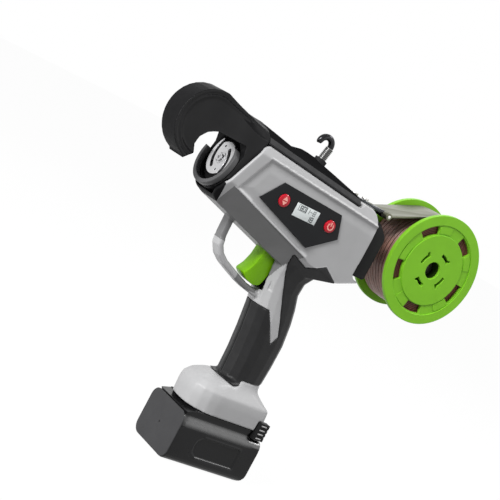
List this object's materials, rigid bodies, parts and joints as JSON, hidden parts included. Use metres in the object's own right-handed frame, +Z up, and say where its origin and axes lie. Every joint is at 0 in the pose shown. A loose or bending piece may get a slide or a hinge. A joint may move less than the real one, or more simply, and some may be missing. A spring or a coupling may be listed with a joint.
{
  "type": "electric vine tying tool",
  "caption": "Cordless pistol-grip tool that feeds wire from a rear spool round a stem through a hooked jaw and twists it tight; display panel, trigger and slide-off battery pack.",
  "frame": {"origin": "centre of the flat underside of the battery pack, on which the tool stands", "axes": "-X towards the hooked jaw, +X towards the wire spool, -Y towards the side with the control panel, +Z up the handle"},
  "size_m": [0.3389, 0.0629, 0.2962],
  "materials": {
    "shell_grey": "satin moulded nylon",
    "black_plastic": "fine moulded grain",
    "head_black": "satin glass-filled nylon",
    "grip_rubber": "matt overmoulded rubber",
    "spool_green": "satin moulded plastic",
    "trigger_green": "glossy moulded plastic",
    "button_red": "glossy silicone-topped plastic",
    "plate_steel": "brushed sheet",
    "dark_steel": "blackened",
    "bezel_grey": "satin grey paint",
    "bearing_bronze": "sintered bronze",
    "wire_coat": "thin plastic coat on soft wire",
    "cell_can": "shrink-wrapped can",
    "board_green": "solder mask",
    "display_window": "clear window over a segment display",
    "gear_plastic": "acetal"
  },
  "bodies": {
    "frame": {"housing_left": "shell_grey", "housing_right": "shell_grey", "grip_left": "grip_rubber", "grip_right": "grip_rubber", "housing_screw_1": "dark_steel", "housing_screw_2": "dark_steel", "housing_screw_3": "dark_steel", "top_cover": "black_plastic", "head_casting": "head_black", "hook_guide": "plate_steel", "feed_tube": "plate_steel", "snout_bezel": "bezel_grey", "shear_plate": "plate_steel", "rotor_bearing": "bearing_bronze", "twist_gearbox": "dark_steel", "twist_motor": "plate_steel", "feed_frame": "plate_steel", "feed_motor": "plate_steel", "rear_cover": "black_plastic", "spool_arm": "black_plastic", "spool_shaft": "plate_steel", "wire_inlet": "plate_steel", "arm_screw_1": "dark_steel", "arm_screw_2": "dark_steel", "plate_bracket": "dark_steel", "plate_pin": "plate_steel", "bracket_screw_1": "plate_steel", "bracket_screw_2": "plate_steel", "control_panel": "black_plastic", "display": "display_window", "circuit_board": "board_green", "trigger_pin": "plate_steel", "trigger_switch": "black_plastic", "foot_terminals": "black_plastic"},
    "trigger": {"trigger": "trigger_green"},
    "mode_button": {"mode_button": "button_red"},
    "power_button": {"power_button": "button_red"},
    "twist_rotor": {"twist_rotor": "plate_steel", "rotor_screw": "dark_steel", "rotor_shaft": "plate_steel"},
    "feed_roller": {"feed_roller": "plate_steel", "feed_gear": "gear_plastic"},
    "feed_pinion": {"feed_pinion": "gear_plastic"},
    "pinch_lever": {"pinch_lever": "dark_steel"},
    "pinch_roller": {"pinch_roller": "plate_steel"},
    "spool": {"spool_near_half": "spool_green", "spool_far_half": "spool_green", "wire_core": "wire_coat", "wire_winding": "wire_coat"},
    "pressure_plate": {"pressure_plate": "plate_steel"},
    "hanging_hook": {"hanging_hook": "dark_steel"},
    "battery": {"battery_case": "black_plastic", "battery_lid": "black_plastic", "battery_cell_1": "cell_can", "battery_cell_2": "cell_can", "battery_cell_3": "cell_can", "battery_cell_4": "cell_can", "battery_cell_5": "cell_can"},
    "battery_latch_left": {"battery_latch_left": "black_plastic"},
    "battery_latch_right": {"battery_latch_right": "black_plastic"}
  },
  "joints": [
    {"name": "trigger_pull", "type": "hinge", "parent": "frame", "child": "trigger", "pos_m": [-0.024, 0, 0.193], "axis": [0, -1, 0], "range_deg": [0, 8], "stiffness_Nm_per_rad": 0.8, "springref_deg": -8.59},
    {"name": "mode_press", "type": "slide", "parent": "frame", "child": "mode_button", "axis": [0, 1, 0], "range_m": [0, 0.0008], "stiffness_N_per_m": 600, "springref_m": -0.0005},
    {"name": "power_press", "type": "slide", "parent": "frame", "child": "power_button", "axis": [0, 1, 0], "range_m": [0, 0.0008], "stiffness_N_per_m": 600, "springref_m": -0.0005},
    {"name": "twist_spin", "type": "hinge", "parent": "frame", "child": "twist_rotor", "pos_m": [-0.1099, 0, 0.2397], "axis": [-0.9781, 0, 0.2079], "continuous": true},
    {"name": "feed_spin", "type": "hinge", "parent": "frame", "child": "feed_roller", "pos_m": [0.01308, 0, 0.23034], "axis": [0, 1, 0], "continuous": true},
    {"name": "pinion_spin", "type": "hinge", "parent": "frame", "child": "feed_pinion", "pos_m": [0.02, 0, 0.20972], "axis": [0, 1, 0], "continuous": true},
    {"name": "pinch_lift", "type": "hinge", "parent": "frame", "child": "pinch_lever", "pos_m": [-0.001, 0, 0.247], "axis": [0, -1, 0], "range_deg": [0, 3], "stiffness_Nm_per_rad": 3, "springref_deg": -11.46},
    {"name": "pinch_spin", "type": "hinge", "parent": "pinch_lever", "child": "pinch_roller", "pos_m": [0.01614, 0, 0.24574], "axis": [0, 1, 0], "continuous": true},
    {"name": "spool_spin", "type": "hinge", "parent": "frame", "child": "spool", "pos_m": [0.1205, 0, 0.2347], "axis": [0, 1, 0], "continuous": true},
    {"name": "plate_lift", "type": "hinge", "parent": "frame", "child": "pressure_plate", "pos_m": [0.056, 0, 0.25859], "axis": [0, -1, 0], "range_deg": [0, 40], "stiffness_Nm_per_rad": 0.2, "springref_deg": -17.19},
    {"name": "hook_swivel", "type": "hinge", "parent": "frame", "child": "hanging_hook", "pos_m": [-0.02252, 0, 0.275], "axis": [0.2079, 0, 0.9781], "continuous": true},
    {"name": "battery_release", "type": "slide", "parent": "frame", "child": "battery", "axis": [1, 0, 0], "range_m": [0, 0.065]},
    {"name": "latch_left_press", "type": "slide", "parent": "battery", "child": "battery_latch_left", "axis": [0, 1, 0], "range_m": [0, 0.0025], "stiffness_N_per_m": 800, "springref_m": -0.001},
    {"name": "latch_right_press", "type": "slide", "parent": "battery", "child": "battery_latch_right", "axis": [0, -1, 0], "range_m": [0, 0.0025], "stiffness_N_per_m": 800, "springref_m": -0.001}
  ],
  "couplings": [
    {"joint": "pinion_spin", "follows": "feed_spin", "ratio": -2.625},
    {"joint": "pinch_spin", "follows": "feed_spin", "ratio": -1.8}
  ]
}
